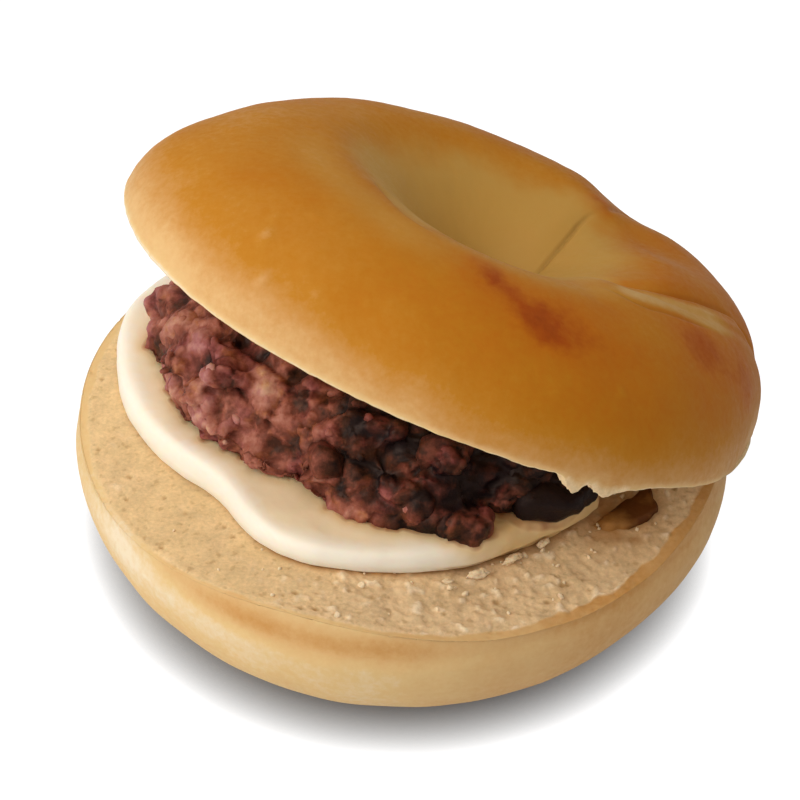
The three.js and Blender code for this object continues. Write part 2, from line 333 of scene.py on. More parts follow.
def in_lid(points):
    """Places in the lid's own frame: its cut face is level there, at height 0."""
    return (points - LID_MIDDLE) @ LID_WAYS


def lid_underside(points):
    """Height of the lid's cut face above each place."""
    up = LID_WAYS[:, 2]
    gap = points[:, :2] - LID_MIDDLE[:2]
    return LID_MIDDLE[2] - gap @ up[:2] / up[2]


def ring_place(degrees, radius):
    a = math.radians(degrees)
    return radius * math.cos(a), radius * math.sin(a)


# %% A fine net for the lid
lid = copy_of("bagel_lid", "lid_bread", sharp=50)
apply_modifier(lid, "SUBSURF", levels=2, render_levels=2)

middles = in_lid(middles_of(lid))
from_hole = np.hypot(middles[:, 0], middles[:, 1])
divide_faces(lid, (middles[:, 2] > 0.6) & (from_hole > 9))

LID_EDGE_TORN = 290
middles = in_lid(middles_of(lid))
direction = np.degrees(np.arctan2(middles[:, 1], middles[:, 0]))
torn_edge = (turned_from(direction, LID_EDGE_TORN) < 17) & (middles[:, 2] < 2.2)
divide_faces(lid, torn_edge & (np.hypot(middles[:, 0], middles[:, 1]) > 43.5))

SEAM_IN_DIMPLE = spline(
    [(8.6, -0.4), (10.7, 3.9), (11.9, 6.3), (13.7, 10), (15.2, 13), (17.2, 15.6), (20, 18)]
)
SEAM_ON_CREST = spline([(14.5, -11), (20, -12.4), (26.4, -9.8), (33.2, -5), (39.2, -0.5), (51.5, 5.2)])
WRINKLE = spline([(13, -20.5), (19.7, -21.1), (24, -19.3), (28.6, -16.9), (33.5, -13.8)])
STRIP = spline(
    [(14.5, -19.5), (17.8, -19.3), (21.3, -17.8), (25.1, -16), (29, -14), (33, -11.7), (36, -8.6), (39, -5)]
)
SEAM_OVER_FAR = spline([(19, 16.5), (20.5, 19.5), (22.5, 23), (25, 27.5)])
CUSP = spline([(-20.9, -9.5), (-20, -12.6), (-18.6, -15.8), (-16.9, -19.1), (-14.8, -21.9), (-11.5, -23.8)])
middles = in_lid(middles_of(lid))
near_seam = np.full(len(middles), 99.0)
FINE_LINES = [
    (SEAM_IN_DIMPLE, 1.0),
    (SEAM_ON_CREST, 2.2),
    (WRINKLE, 0.7),
    (CUSP, 0.8),
    (SEAM_OVER_FAR, 0.8),
]
for line, reach in FINE_LINES:
    gap, _ = away_from(line, middles[:, :2])
    near_seam = np.minimum(near_seam, np.abs(gap) / reach)
divide_faces(lid, (middles[:, 2] > 5) & (near_seam < 1))
say(lid)

# %% Press in the seams
own = in_lid(points_of(lid))
radius = np.hypot(own[:, 0], own[:, 1])
angle = np.degrees(np.arctan2(own[:, 1], own[:, 0])) % 360
height = own[:, 2]
outer_crust = between(height, 0.5, 3)
dimple_gap, dimple_along = away_from(SEAM_IN_DIMPLE, own[:, :2])
crest_gap, crest_along = away_from(SEAM_ON_CREST, own[:, :2])
wrinkle_gap, wrinkle_along = away_from(WRINKLE, own[:, :2])
cusp_gap, cusp_along = away_from(CUSP, own[:, :2])
over_gap, over_along = away_from(SEAM_OVER_FAR, own[:, :2])

dimple_line = ridge(dimple_gap, 0, 0.42) * between(dimple_along, 20, 12)
dimple_lip = between(-dimple_gap, 0.1, 0.7) * between(-dimple_gap, 4, 1) * between(dimple_along, 20, 12)
crest_open = between(crest_along, 0, 5)
crest_line = ridge(crest_gap, -0.1, 0.55) * crest_open
near_side = -crest_gap
lip_width = 1.3 + 1.5 * between(crest_along, 4, 24)
crest_lip = between(near_side, 0.3, 1.1) * between(near_side, 2.1 + lip_width, 0.6 + lip_width)
crest_lip *= between(crest_along, -0.5, 3) * between(crest_along, 32, 27)
strip_gap, strip_along = away_from(STRIP, own[:, :2])
# How far along the pale strip, and half its width there.
HALF_WIDTHS = [
    (0, 0.4), (3.3, 0.8), (7.1, 1.2), (11.3, 1.2), (15.7, 1.6), (20.3, 1.9), (24.6, 2), (29, 1.5),
]
half = np.interp(strip_along, *zip(*HALF_WIDTHS))
strip = between(strip_gap, half + 2.2, half + 0.3) * between(-strip_gap, half + 1.0, half - 0.9)
strip *= between(near_side, 0.3, 1.1) * between(strip_along, 0.5, 3.5) * between(strip_along, 28, 21)
crest_far = ridge(crest_gap, 2.2, 1.6) * crest_open
wrinkle = ridge(wrinkle_gap, 0, 0.35) * between(wrinkle_along, 0, 4) * between(wrinkle_along, 24, 18)
cusp_fade = between(cusp_along, 0, 3.5) * between(cusp_along, 17.5, 12)
cusp_step = between(cusp_gap, -0.4, 0.9) * between(cusp_gap, 6, 1.0) * cusp_fade
over_line = ridge(over_gap, 0, 0.6) * between(over_along, 0, 3) * between(over_along, 15, 11)
seam_push = 0.5 * crest_lip + 0.1 * crest_far + 0.22 * dimple_lip - 0.4 * over_line
seam_push -= 0.3 * dimple_line + 0.45 * crest_line + 0.14 * wrinkle + 0.8 * cusp_step

near_half = between(crest_gap, 1.2, -0.6)
far_half = between(over_gap, -0.5, 0.7)
# Middle, size, rise and where it counts.
SWELLINGS = [
    ((13.5, -15.5, 18), 5.0, 1.2, near_half),
    ((24, -13.5, 20), 5.0, 0.5, near_half),
    ((17.5, 25.5, 20), 5.0, 1.0, far_half),
    ((30, 9, 18), 7.0, -0.6, 1.0),
    ((23, 26, 19), 4.5, -0.65, 1.0),
    ((29.5, 21, 18), 5.5, -0.4, 1.0),
    ((-44, 12, 10), 7.0, -0.5, 1.0),
]
for centre, size, rise, where in SWELLINGS:
    seam_push += rise * where * mound(own, centre, size)

# %% Skin, blisters and the wavering edge
skin = 0.26 * lumps(own, 17, 2) + 0.06 * lumps(own, 4.5, 2, 7) + 0.02 * lumps(own, 1.1, 1, 3)

random.seed(11)
SMALL_BLISTERS = 46
BLISTER_RANGES = [(150, 345), (30, 49), (0.4, 0.8), (0.03, 0.09)]
blisters = [(221, 45.2, 0.9, 0.22), (227, 48.1, 0.7, 0.18)]
for _ in range(SMALL_BLISTERS):
    blisters.append([random.uniform(*ends) for ends in BLISTER_RANGES])
blister_tops = np.zeros(len(own))
for degrees, ring, size, rise in blisters:
    x, y = ring_place(degrees, ring)
    top = ridge(np.hypot(own[:, 0] - x, own[:, 1] - y), 0, size) * (radius > 27)
    skin += rise * top
    blister_tops = np.maximum(blister_tops, top * rise / 0.22)

edge_wear = ridge(height, 0.6, 0.9) * (radius > 40)
slices, widest = widest_by_slice(angle, radius)
outer = radius > widest[slices] - 1.2
lowest = np.full(360 // SLICE, 9.0)
np.minimum.at(lowest, slices[outer], height[outer])
above_rim = height - np.interp(angle, np.arange(SLICE / 2, 360, SLICE), lowest, period=360)

# How far the torn edge hangs down, by direction in degrees.
HANGING = [
    (284.0, 0), (285.4, 0.3), (286.4, 1.0), (287.3, 1.9), (288.2, 2.3), (288.9, 2.1), (289.6, 1.2),
    (290.4, 0.6), (291.2, 0.7), (292.0, 1.5), (292.9, 1.95), (294.2, 2.05), (295.5, 1.7), (297.0, 1.1),
    (298.7, 0.55), (300.5, 0.25), (303.0, 0),
]
near_torn = turned_from(angle, LID_EDGE_TORN)
hang = np.interp(angle + 0.35 * lumps(own, 0.9, 3, 29), *zip(*HANGING))
hang *= 1 + 0.15 * lumps(own, 0.7, 2, 27)
hang += 0.15 * (1 + lumps(own, 1.6, 2, 19)) * between(near_torn, 15, 11)
drop = hang * between(radius, 44.5, 46.5) * between(above_rim, 1.4, 0.3)
ragged = 0.7 * between(hang, 0.3, 1.2) * between(above_rim, 1.3, 0.1)
worn = between(near_torn, 24, 16) * between(above_rim, 0.55, 0.1) * (0.45 + 0.3 * lumps(own, 2, 2, 23))
ragged = np.maximum(ragged, worn) * between(radius, 44, 46)
push = (skin + seam_push) * outer_crust
push += 0.12 * lumps(own, 2.2, 2, 5) * (1 - outer_crust) + 0.10 * edge_wear * lumps(own, 1.6, 2, 15)
RIM_BULGES = [((-49, -2, 2), 8.0, 0.4), ((44.5, -20, 2.5), 8.0, -0.65), ((47.5, -11, 1), 8.0, -1.0)]
for centre, size, rise in RIM_BULGES:
    push += rise * between(radius, 40, 46) * mound(own, centre, size)
points = points_of(lid) + normals_of(lid) * push[:, None] - drop[:, None] * LID_WAYS[:, 2]
move_to(lid, points)

# %% [markdown]
# How brown the crust is follows the oven: the crest of the ring browns first, the dimple and
# the lower edge stay pale, and a few spots toast darker. That is one number for each vertex,
# painted by the same kind of rules, and the material turns it into colour. Painted highlights
# go into the same numbers: a pale strip along the crest seam, and paler bands on the dimple's
# near rim and on the crest at the left. The creases get painted shade.

# %% Browning and painted highlights of the lid
# Direction, distance from the middle, size and how much browner.
TOAST_SPOTS = [
    (263, 29.6, 3.0, 0.22), (267, 31.8, 2.4, 0.04), (275, 33, 9, 0.05), (276.5, 36.6, 4.2, 0.25),
    (285, 36.8, 5, 0.08), (325, 38.0, 5.0, 0.20), (338, 43.5, 4, 0.12), (47, 25.4, 2.4, 0.20),
    (84, 31, 5, 0.10), (205, 34, 14, 0.06), (150, 36, 10, 0.05),
]
to_right = between(own[:, 0] - 0.35 * own[:, 1], -38, 30)
browning_and_highlight = 0.50 + 0.12 * to_right + 0.05 * lumps(own, 14, 3, 21)
browning_and_highlight -= 0.27 * between(height, 10, 0.5) * between(radius, 30, 44)
browning_and_highlight -= 0.25 * ridge(above_rim, 0, 0.7) * (radius > 40)
browning_and_highlight -= 0.12 * blister_tops
for degrees, ring, size, more in TOAST_SPOTS:
    x, y = ring_place(degrees, ring)
    gap = np.hypot(own[:, 0] - x, own[:, 1] - y) + 1.5 * lumps(own, 6, 2, 31) + 0.7 * lumps(own, 1.8, 2, 35)
    browning_and_highlight += more * ridge(gap, 0, size)
browning_and_highlight += 0.02 * ridge(crest_gap, 1.8, 2.6) * between(crest_along, 3, 12)

lobe_side = between(turned_from(angle, 40), 30, 12)
lobe_end = between(turned_from(angle, 5), 42, 20)
far_side = between(turned_from(angle, 105), 80, 40)
# Paler, less saturated bands on the dimple's near rim and on the crest at the left: partly steamed dough,
# partly painted highlight.
near_rim = ridge(radius, 25.5, 2.5) * between(turned_from(angle, 285), 60, 30)
mottled = 2.0 * lumps(own, 9, 2, 41) + 0.9 * lumps(own, 2.4, 2, 47)
steamed_and_highlight = between(radius + mottled - 2.7 * lobe_side + 3.2 * far_side + 2.5 * lobe_end, 27, 19)
steamed_and_highlight *= np.maximum(between(crest_gap, 1.5, 6), between(crest_along, 6, 1))
steamed_and_highlight = np.maximum(steamed_and_highlight, 0.4 * near_rim)
pale_crest = ridge(radius, 30.5, 3.5) * between(turned_from(angle, 217), 45, 20)
steamed_and_highlight = np.maximum(steamed_and_highlight, 0.3 * pale_crest)
browning_and_highlight -= 0.04 * near_rim + 0.05 * pale_crest
# The pale strip along the crest seam: partly unbrowned dough, partly a painted highlight where the crest's
# edge meets the light.
paint(lid, "browning_and_highlight", np.clip(browning_and_highlight - 0.26 * strip, 0, 1))
paint(lid, "steamed_and_highlight", np.clip(np.maximum(steamed_and_highlight, 0.6 * strip), 0, 1))
# Painted shade: the seams, the wrinkle and the cusp's edge are darkened along their lines, as shade falls
# in the creases.
shade = 0.5 * dimple_line + 0.12 * crest_line + 0.25 * wrinkle
shade += 0.45 * ridge(cusp_gap, 0.5, 0.9) * cusp_fade
paint(lid, "line", np.clip(shade, 0, 1))
facing_down = between(-(normals_of(lid) @ LID_WAYS[:, 2]), 0.35, 0.8) * between(height, 3.2, 2.2)
paint(lid, "cut", np.clip(facing_down + 1.4 * ragged, 0, 1))
paint(lid, "torn", 0.3 + 0.3 * lumps(own, 9, 2, 61))
paint(lid, "flake", 0.5 * ragged)
print("browning from", round(browning_and_highlight.min(), 2), "to", round(browning_and_highlight.max(), 2))

# %% [markdown]
# ## The lower half
#
# The base stands level. Its crust is much paler than the lid's, because it baked underneath,
# and its cut face shows the crumb: smooth where the knife ran at the left, torn up in rough
# tufts at the front and right. The cut face gets a much finer net than the crust, so that
# pores and tufts are real hollows and bumps.

# %% A fine net for the base
HUB = np.array([-2.14, -0.59])
base = copy_of("bagel_base", "base_bread", sharp=50)
apply_modifier(base, "SUBSURF", levels=2, render_levels=2)


def round_hub(points):
    """Distance from the base's middle and direction in degrees."""
    gap = points[:, :2] - HUB
    return np.hypot(gap[:, 0], gap[:, 1]), np.degrees(np.arctan2(gap[:, 1], gap[:, 0])) % 360


middles = middles_of(base)
facing = read(base.data.polygons, "normal")
from_hub, _ = round_hub(middles)
on_cut = (facing[:, 2] > -0.15) & (middles[:, 2] > 17) & (from_hub > 24)
divide_faces(base, on_cut, 2)
say(base)

# %% Pores and torn crumb
BASE_TORN = 302
points = points_of(base)
ups = normals_of(base)
from_hub, angle = round_hub(points)
cut_face = between(ups[:, 2], 0.55, 0.9) * (points[:, 2] > 19.5)
torn = between(turned_from(angle, BASE_TORN), 66, 34) * between(from_hub, 26, 32) * cut_face
torn = np.clip(torn + 0.35 * cut_face * lumps(points, 8, 3, 3), 0, 1)

tufts = 0.26 * lumps(points, 3.2, 2, 1) + 0.2 * lumps(points, 1.25, 3, 2) + 0.12 * lumps(points, 0.7, 2, 5)
flakes = between(lumps(points, 1.7, 2, 71), 0.25, 0.7)
grain = 0.05 * lumps(points, 1.2, 3, 4) + 0.10 * lumps(points, 5, 1, 6)
rise = cut_face * (grain + torn * (tufts + 0.3 * flakes)) * (0.25 + 0.75 * between(from_hub, 48.2, 46.2))

random.seed(5)
candidates = np.flatnonzero((cut_face > 0.5) & (from_hub > 25))
SMALL_PORES = 420
pores = [(-42.1, -17.9, 0.5), (-27.0, -28.5, 0.5), (-36.4, -22.2, 0.45)]
for _ in range(SMALL_PORES):
    centre = points[random.choice(candidates)]
    pores.append((centre[0], centre[1], 0.22 + 0.38 * random.random() ** 4))
pore_depth = np.zeros(len(points))
for x, y, size in pores:
    gap = np.hypot(points[:, 0] - x, points[:, 1] - y) + 0.12 * size
    near = gap < size
    pore_depth[near] = np.maximum(pore_depth[near], size * 0.5 * np.sqrt(1 - (gap[near] / size) ** 2))
rise -= pore_depth * cut_face

crust = 1 - cut_face
waves = 0.26 * lumps(points, 19, 2, 8) + 0.05 * lumps(points, 5, 2, 9)
rise += crust * waves * between(points[:, 2], 0, 4)
rise -= 0.4 * between(from_hub, 47.4, 49.4) * between(points[:, 2], 17, 20)
rise *= between(points[:, 2], 0, 1.5)
move_to(base, points + ups * rise[:, None])

# %% Browning, painted highlight and stains of the base
BASE_BROWN, BASE_HIGHLIGHT, BASE_RIGHT = 255, 226, 335
front = between(turned_from(angle, BASE_BROWN), 38, 10)
right = between(turned_from(angle, BASE_RIGHT), 62, 25)
browning_and_highlight = 0.13 + 0.04 * lumps(points, 15, 3, 51) + 0.13 * right
browning_and_highlight += 0.25 * front * ridge(points[:, 2], 21.2, 2.6)
# Painted highlight: the shoulder at the front left, facing the lamp, is painted paler.
browning_and_highlight -= 0.11 * between(turned_from(angle, BASE_HIGHLIGHT), 34, 14) * ridge(points[:, 2], 18, 4)
browning_and_highlight -= 0.03 * between(points[:, 2], 19, 21) * right
# Darker towards the bottom, and at the right just below the rim.
browning_and_highlight += 0.10 * between(points[:, 2], 8, 0) + 0.10 * right * between(points[:, 2], 18.5, 20.5)
paint(base, "browning_and_highlight", np.clip(browning_and_highlight, 0, 1))
to_rim = from_hub + (0.35 + 0.6 * right) * lumps(points, 4.5, 2, 37) + 1.0 * right
paint(base, "cut", cut_face * between(to_rim, 48.9, 47.3))
paint(base, "torn", torn)
paint(base, "flake", cut_face * flakes * torn)
# Painted shade: pores are painted darker by their depth.
paint(base, "hollow", np.clip(pore_depth * 3.2, 0, 1))

# %% [markdown]
# ## Cream
#
# Whipped cream cheese, spread thick with a knife. It ends in a soft rounded lip, bright where
# the light from the side meets it. Its top is painted yellower and darker towards the paste,
# partly a tint from the paste and partly painted shade, and its thin right end under the lid is
# painted darker, partly as painted shade.

# %% Spread the cream
cream = copy_of("cream_layer", "cream_spread")
apply_modifier(cream, "SUBSURF", levels=3, render_levels=3)
points = points_of(cream)
ups = normals_of(cream)
from_hub, angle = round_hub(points)
slices, edge = widest_by_slice(angle, from_hub)
inward = edge[slices] - from_hub
right_side = between(turned_from(angle, 325), 50, 25)
strokes = 0.15 * lumps(points * [1, 1, 0.3], 6, 2, 2) + 0.05 * lumps(points, 2, 2, 5)
strokes += right_side * 0.2 * lumps(points, 2.6, 2, 9)
undercut = 0.9 * between(points[:, 2], 24.2, 23.0) * between(inward, 4, 2)
undercut *= between(turned_from(angle, 292), 66, 40)
hub_way = np.column_stack([points[:, :2] - HUB, np.zeros(len(points))]) / from_hub[:, None]
drawn_in = 1.2 * between(inward, 5, 1.5) * between(turned_from(angle, 338), 14, 8)
moved = points + ups * strokes[:, None] - hub_way * (undercut + drawn_in)[:, None]
moved[:, 2] -= 0.35 * (ups[:, 2] < -0.2)
move_to(cream, moved)
paint(cream, "inward", inward + 0.7 * lumps(points, 7, 2, 12))
paint(cream, "thin_and_shaded", right_side)
say(cream)

# %% [markdown]
# ## Bean paste
#
# Sweet red bean paste is a moist mash in which some beans stay whole. The mash is one lumpy
# body: the CAD heap is remeshed together with beans that have gone soft, which melts them into
# it, and is then broken up into chunks. Firmer beans and broken bits are modelled a few times,
# copied, and pressed into its surface.


# %% One bean
def bean(name, size, seed, segments=20, rings=12, halved=False):
    """A cooked bean: a blunt barrel with a dented skin, whole or broken in half."""
    bpy.ops.mesh.primitive_uv_sphere_add(segments=segments, ring_count=rings, radius=0.5)
    piece = bpy.context.object
    piece.name = name
    points = points_of(piece) * MM
    blunt = np.sign(points) * np.abs(points * 2) ** 0.86 / 2
    dents = 1 + 0.09 * lumps(points, 0.5, 2, seed) + 0.05 * lumps(points * [0.6, 2, 2], 0.35, 2, seed + 9)
    move_to(piece, blunt * dents[:, None] * np.array(size))
    if halved:
        bpy.ops.object.mode_set(mode="EDIT")
        bpy.ops.mesh.select_all(action="SELECT")
        bpy.ops.mesh.bisect(plane_co=(0, 0, 0), plane_no=(0.3, 0.2, 1), use_fill=True, clear_outer=True)
        bpy.ops.object.mode_set(mode="OBJECT")
    bpy.ops.object.shade_smooth()
    return piece


BEAN_SIZES = [(8.0, 5.6, 5.0), (7.4, 5.3, 4.9), (8.6, 5.7, 4.8), (7.0, 5.4, 5.2)]
bean_kinds = [bean(f"bean_kind_{k}", size, 3 + k) for k, size in enumerate(BEAN_SIZES)]
bean_kinds += [bean(f"half_kind_{k}", size, 13 + k, halved=True) for k, size in enumerate(BEAN_SIZES[:2])]
BIT_SIZES = [(2.4, 1.7, 1.1), (1.8, 1.5, 1.2), (3.0, 1.6, 0.9)]
bit_kinds = [bean(f"bit_kind_{k}", size, 23 + k, 8, 6) for k, size in enumerate(BIT_SIZES)]

# %% Pressing pieces into the heap
mash = copy_of("bean_paste", "bean_mash")


def heap_of(piece):
    return BVHTree.FromObject(piece, bpy.context.evaluated_depsgraph_get())


OUTSIDE = 70


def heap_spot(heap, degrees, height):
    """The place on the heap's side seen from outside, with its outward direction."""
    x, y = ring_place(degrees, OUTSIDE)
    outside = Vector((HUB[0] + x, HUB[1] + y, height)) * MM
    place, direction, _, _ = heap.ray_cast(outside, Vector((-x, -y, 0)).normalized())
    return place, direction


def settle(kind, place, direction, sunk, grow, roll, lean=0.35):
    """A copy of a bean, lying along the surface and sunk into it."""
    piece = kind.copy()
    piece.data = kind.data.copy()
    bpy.context.scene.collection.objects.link(piece)
    turn = direction.to_track_quat("Z", "Y") @ Quaternion((0, 0, 1), roll)
    turn = turn @ Euler((random.uniform(-lean, lean), random.uniform(-lean, lean), 0)).to_quaternion()
    centre = place - direction * sunk * MM
    piece.data.transform(Matrix.Translation(centre) @ turn.to_matrix().to_4x4() @ Matrix.Scale(grow, 4))
    return piece


def scatter(kinds, number, spacing, sunk, lowest, highest, room, tone=(-1, 1)):
    """Copies of the kinds over the heap's side, none closer to the next than the spacing."""
    heap = heap_of(mash)
    settled = []
    centres = []
    for _ in range(number * 12):
        place, direction = heap_spot(heap, random.uniform(0, 360), random.uniform(lowest, highest))
        if place is None or len(settled) == number:
            continue
        roof = lid_underside(np.array([place / MM]))[0]
        if place.z / MM > roof - room or any((place - other).length < spacing * MM for other in centres):
            continue
        centres.append(place.copy())
        kind = random.choice(kinds)
        deep, grow, roll = random.uniform(*sunk), random.uniform(0.8, 1.05), random.uniform(0, 6.3)
        piece = settle(kind, place, direction, deep, grow, roll)
        paint(piece, "tone", np.full(len(piece.data.vertices), random.uniform(*tone)))
        settled.append(piece)
    print(len(settled), "pieces settled on the heap")
    return settled


# %% The mash
VOXEL = 0.42
random.seed(23)
mash = join([mash] + scatter(bean_kinds, 60, 6.0, (1.9, 2.9), 28.6, 44, 2.4), "bean_mash")
apply_modifier(mash, "REMESH", mode="VOXEL", voxel_size=VOXEL * MM, use_smooth_shade=True)
apply_modifier(mash, "SMOOTH", factor=0.5, iterations=5)
points = points_of(mash)
ups = normals_of(mash)
# Middle, size, push outwards and change of tone.
FORMS = [
    ((-36.4, 1.0, 37.1), 4.0, 0.8, 0.2), ((-32.8, -5.3, 37.5), 2.2, 0.5, 1.0),
    ((-39, 3.3, 31.5), 2.2, -0.5, -0.7), ((-31.3, -8.2, 36.6), 2.4, -1.0, -1.1),
    ((-26.3, -13.8, 37.2), 2.6, -0.8, -0.9), ((-31.1, -14.5, 35.5), 3.2, 0.5, 0.8),
    ((-22.3, -13.4, 36.2), 1.5, 0.2, 1.5), ((-20.7, -16.3, 36.0), 4.0, 0.5, 0.3),
    ((-30.1, -17.7, 29.6), 1.6, 0.0, 0.4), ((-19.0, -27.0, 31.0), 6.5, -1.9, 0.0),
    ((-4.5, -26.8, 34.9), 3.4, -1.7, -1.0), ((-10.8, -23.9, 36.7), 2.8, -0.5, -0.5),
    ((1.7, -28.8, 32.4), 3.6, 0.8, 0.6), ((7.6, -29.0, 31.7), 2.8, -1.4, -0.9),
    ((11.5, -27.6, 29.1), 2.4, 0.3, 0.6), ((-6.0, -30.1, 29.1), 2.6, 0.0, 1.2),
    ((-25.3, -5.2, 38.8), 4.0, -0.6, -0.8), ((-17.4, -12.3, 38.6), 4.5, -0.4, -0.7),
    ((9.8, -31.9, 30.1), 2.6, 0.0, 0.9), ((-1.8, -29.0, 30.4), 2.2, 0.2, 0.7),
    ((-9.2, -26.6, 33.4), 2.6, -0.6, -0.9), ((0.9, -28.0, 33.6), 2.2, 0.3, 0.8),
    ((-18.6, -15.9, 36.7), 2.4, 0.3, 0.9), ((-28.3, -5.5, 38.7), 2.2, 0.2, 0.8),
    ((-38.5, 7.5, 36.5), 2.4, -0.3, -0.8), ((-25.8, -16.8, 31.1), 3.2, 0.2, 0.6),
    ((-15.4, -19.4, 36.2), 3.0, 0.2, 0.6), ((-41.0, 5.2, 30.5), 2.6, 1.0, 0.8),
    ((-10.5, -27.3, 30.0), 1.6, 0.0, -0.4), ((-7.0, -29.6, 27.8), 4.0, 1.4, 0.4),
    ((-1.0, -30.2, 27.8), 4.0, 1.5, 0.2), ((4.4, -30.6, 28.0), 3.6, 2.0, 0.0),
    ((7.0, -31.2, 29.0), 2.6, 1.2, 0.0), ((-27.0, -12.0, 37.8), 2.6, -0.4, -1.1),
    ((-33.0, -5.0, 33.5), 2.4, 0.0, 0.7), ((-36.5, 5.0, 37.8), 3.0, 0.0, -0.9),
    ((-13.0, -26.9, 34.9), 2.6, 0.0, -0.5),
]


def formed(points, which):
    """The broad mounds and hollows of the heap: their push, or their tone."""
    total = np.zeros(len(points))
    for form in FORMS:
        total += form[which] * mound(points, form[0], form[1])
    return total


bent = 0.9 * np.column_stack([lumps(points, 3.5, 2, seed) for seed in (1, 2, 3)])
big_rise, big_tone = chunks(points + bent, 6.0)
small_rise, small_tone = chunks(points - bent, 2.6, 9)
rough = 0.95 * (big_rise - 0.6) + 0.4 * big_tone + 0.34 * (small_rise - 0.6) + 0.14 * small_tone
rough += 0.18 * lumps(points, 2.0, 3, 3) + 0.14 * lumps(points, 1.1, 2, 8)
rough += formed(points, 2) - 0.3 * between(points[:, 2], 34, 29)
points = points + ups * rough[:, None]
points[:, 2] = np.minimum(points[:, 2], lid_underside(points) - 0.5)
points[:, 2] -= 0.7 * between(points[:, 2], 30, 27)
move_to(mash, points)


def side_tone(points):
    """Lighter and pinker at the left, partly painted light where the lamp falls; darker at the right,
    painted shade under the lid.
    """
    x = points[:, 0]
    left = 0.55 * between(x, -16, -28) + 0.4 * between(x, -8, -14)
    return left - 1.0 * between(x, -14, -5) - 0.3 * between(x, 8, 17) + formed(points, 3)


tone = 0.6 * big_tone + 0.5 * small_tone + 0.7 * lumps(points, 7, 2, 17)
# Painted shade: the cracks between chunks are painted darker.
cracks = np.maximum(1 - big_rise, 0.6 * (1 - small_rise))
for layer in list(mash.data.attributes):
    if layer.name in ("tone", "cleft"):
        mash.data.attributes.remove(layer)
paint(mash, "tone", tone + side_tone(points))
paint(mash, "cleft", cracks)
say(mash)

# %% Firm beans and bits on top
LUMP = ((19.4, -25.2, 28.8), (11.2, 6.6, 6.4), 0.12)
NUB = ((24.7, -24.0, 29.2), (4.8, 3.2, 3.2), 0.9)


def laid(kind_name, place, size, turn, seed, tone):
    """A single lump at a place of its own."""
    piece = bean(kind_name, size, seed, 28, 18)
    piece.data.transform(Matrix.Translation(Vector(place) * MM) @ Matrix.Rotation(turn, 4, "Z"))
    paint(piece, "tone", np.full(len(piece.data.vertices), tone))
    return piece


firm = scatter(bean_kinds[:4], 12, 9.0, (3.3, 3.9), 29, 42, 3.2, (-1.1, -0.2))
bits = scatter(bit_kinds, 130, 2.4, (0.4, 0.9), 28.6, 44, 0.9, (-0.9, 1.1))
lump = laid("dark_lump", *LUMP, 41, -2.1)
nub = laid("dark_nub", *NUB, 42, -2.1)
beans = join(firm + bits + [lump, nub], "beans_and_bits")
finish_piece(beans)
points = points_of(beans)
uneven = 0.3 * lumps(points, 1.4, 3, 5) + 0.55 * lumps(points, 3.0, 2, 6)
move_to(beans, points + normals_of(beans) * uneven[:, None])
tones = read(beans.data.attributes["tone"].data, "value", 1)[:, 0]
beans.data.attributes.remove(beans.data.attributes["tone"])
paint(beans, "tone", tones + side_tone(points))
paint(beans, "cleft", np.clip(0.2 + 0.3 * lumps(points, 1.6, 2, 14), 0, 1))
for kind in bean_kinds + bit_kinds:
    bpy.data.objects.remove(kind)
say(beans)

# %% Syrup stains and painted shade around the heap and the cream's edge
points = points_of(cream)
heaps = (heap_of(mash), heap_of(beans))


def gap_to(heap, place):
    """How far a place is from the nearest skin of a heap."""
    return (heap.find_nearest(place)[0] - place).length / MM


reach = np.array([min(gap_to(heap, Vector(p)) for heap in heaps) for p in points * MM])
reach = np.maximum(reach - 1.0 * between(points[:, 0], 11, 15), 0)
# Next to the heap the cream is painted yellower and darker: partly syrup soaked in, partly painted shade at
# the heap's foot.
soaked_and_shaded = 0.43 * ridge(reach, 0, 1.6) + 0.5 * ridge(reach, 0, 0.8) * (0.7 + 0.6 * lumps(points, 2.4, 2, 33))
paint(cream, "stain_and_shade", np.clip(soaked_and_shaded, 0, 1))

SCRAP_PLACE = np.array([30.8, -22.3])
points = points_of(base)
from_hub, angle = round_hub(points)
lip = heap_of(cream)
# Painted shadow under the cream's edge, partly a seep of syrup: a thin dark line on the crumb along its
# foot.
shadow_and_seep = np.zeros(len(points))
for k in np.flatnonzero((points[:, 2] > 20) & (turned_from(angle, 290) < 60) & (from_hub < 42)):
    shadow_and_seep[k] = ridge(gap_to(lip, Vector(points[k] * MM)), 0, 0.65)
shadow_and_seep *= between(turned_from(angle, 290), 60, 40) * (1.0 + 0.4 * lumps(points, 2.5, 2, 43))
# Darker around the scrap, under the lid's edge.
stain_and_shade = ridge(np.hypot(points[:, 0] - SCRAP_PLACE[0], points[:, 1] - SCRAP_PLACE[1]), 0, 5.5)
stain_and_shade *= 1.15 + 0.6 * lumps(points, 2.5, 2, 13)
paint(base, "stain_and_shade", np.clip(np.maximum(stain_and_shade, shadow_and_seep), 0, 1) * (points[:, 2] > 20))

# %% [markdown]
# ## Scrap of skin and crumbs
#
# A brown scrap of bean skin lies on the crumb at the right. Small crumbs and torn tufts of
# bread lie in front of the cream. Each is a ball, roughened until it looks torn.

